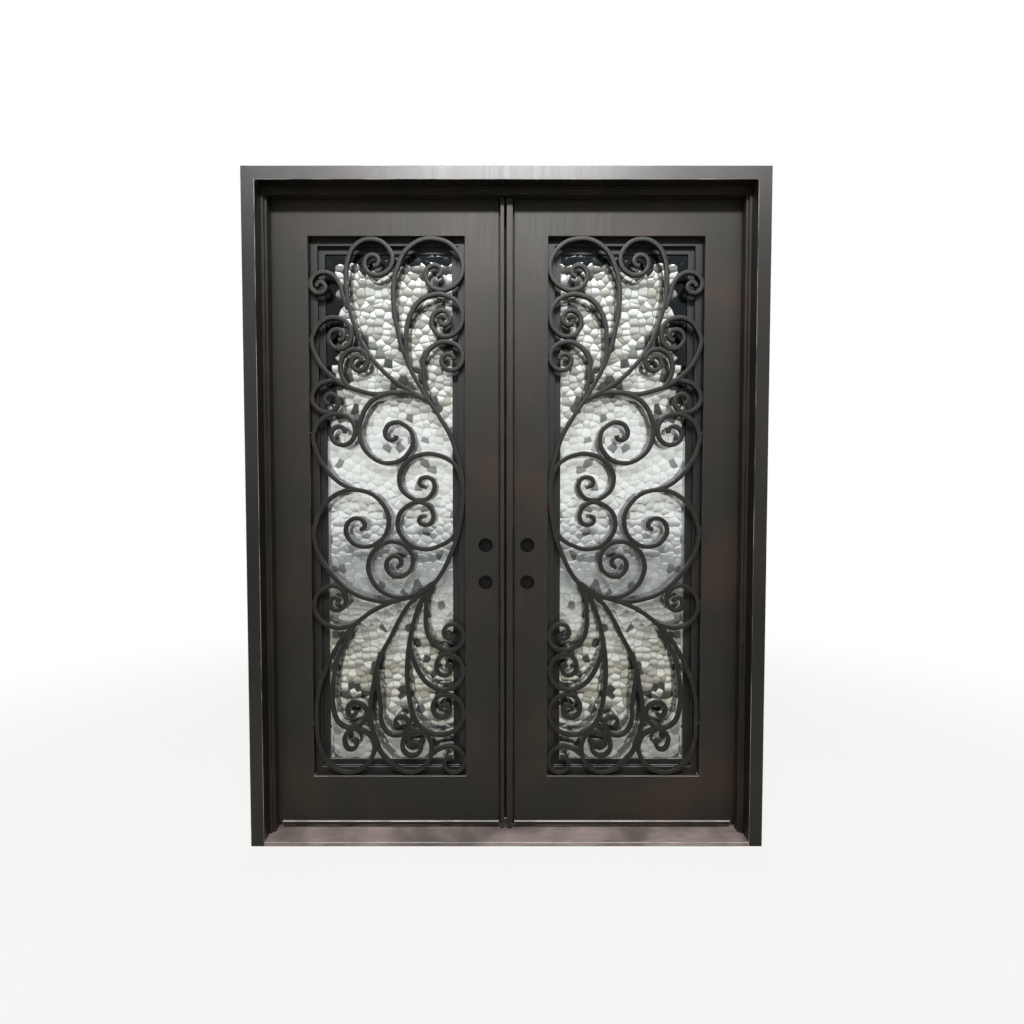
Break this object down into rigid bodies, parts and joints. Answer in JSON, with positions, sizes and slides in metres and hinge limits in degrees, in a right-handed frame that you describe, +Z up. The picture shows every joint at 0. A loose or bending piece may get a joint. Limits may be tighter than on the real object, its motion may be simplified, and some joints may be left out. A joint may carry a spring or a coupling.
{
  "type": "double wrought iron door",
  "caption": "Double-leaf iron entry door in a welded frame with sill, scrollwork grilles over pebbled glass and leaves that swing inward on barrel hinges.",
  "frame": {"origin": "middle of the sill's base, on the frame's mid depth", "axes": "+X to the right seen from outside, +Y into the building, +Z up"},
  "size_m": [1.88, 0.202, 2.44],
  "materials": {
    "bronze": "dark bronze paint, satin",
    "sill_bronze": "worn dark bronze paint",
    "sash_bronze": "dark bronze paint, satin",
    "hinge_bronze": "dark bronze paint over turned steel",
    "lock_steel": "blackened steel",
    "rubber": "black rubber",
    "pebbled_glass": "pebbled, translucent"
  },
  "bodies": {
    "frame": {"left_jamb": "bronze", "right_jamb": "bronze", "header": "bronze", "sill": "sill_bronze", "left_stop": "bronze", "right_stop": "bronze", "header_stop": "bronze", "left_tabs": "bronze", "right_tabs": "bronze", "left_pintles": "hinge_bronze", "right_pintles": "hinge_bronze"},
    "left_leaf": {"left_hinge_stile": "bronze", "left_lock_stile": "bronze", "left_top_rail": "bronze", "left_bottom_rail": "bronze", "left_meeting_bar": "bronze", "left_bar_boot": "rubber", "left_drip_ledge": "bronze", "left_sash": "sash_bronze", "left_glass": "pebbled_glass", "left_glazing_bead": "sash_bronze", "left_scrollwork": "bronze", "left_lock_case": "lock_steel", "left_meeting_seal": "rubber", "left_hinge_barrels": "hinge_bronze"},
    "right_leaf": {"right_hinge_stile": "bronze", "right_lock_stile": "bronze", "right_top_rail": "bronze", "right_bottom_rail": "bronze", "right_meeting_bar": "bronze", "right_bar_boot": "rubber", "right_drip_ledge": "bronze", "right_sash": "sash_bronze", "right_glass": "pebbled_glass", "right_glazing_bead": "sash_bronze", "right_scrollwork": "bronze", "right_lock_case": "lock_steel", "right_meeting_seal": "rubber", "right_hinge_barrels": "hinge_bronze"}
  },
  "joints": [
    {"name": "left_leaf_hinge", "type": "hinge", "parent": "frame", "child": "left_leaf", "pos_m": [-0.884, 0.075, 0], "axis": [0, 0, 1], "range_deg": [0, 105]},
    {"name": "right_leaf_hinge", "type": "hinge", "parent": "frame", "child": "right_leaf", "pos_m": [0.884, 0.075, 0], "axis": [0, 0, -1], "range_deg": [0, 105]}
  ]
}
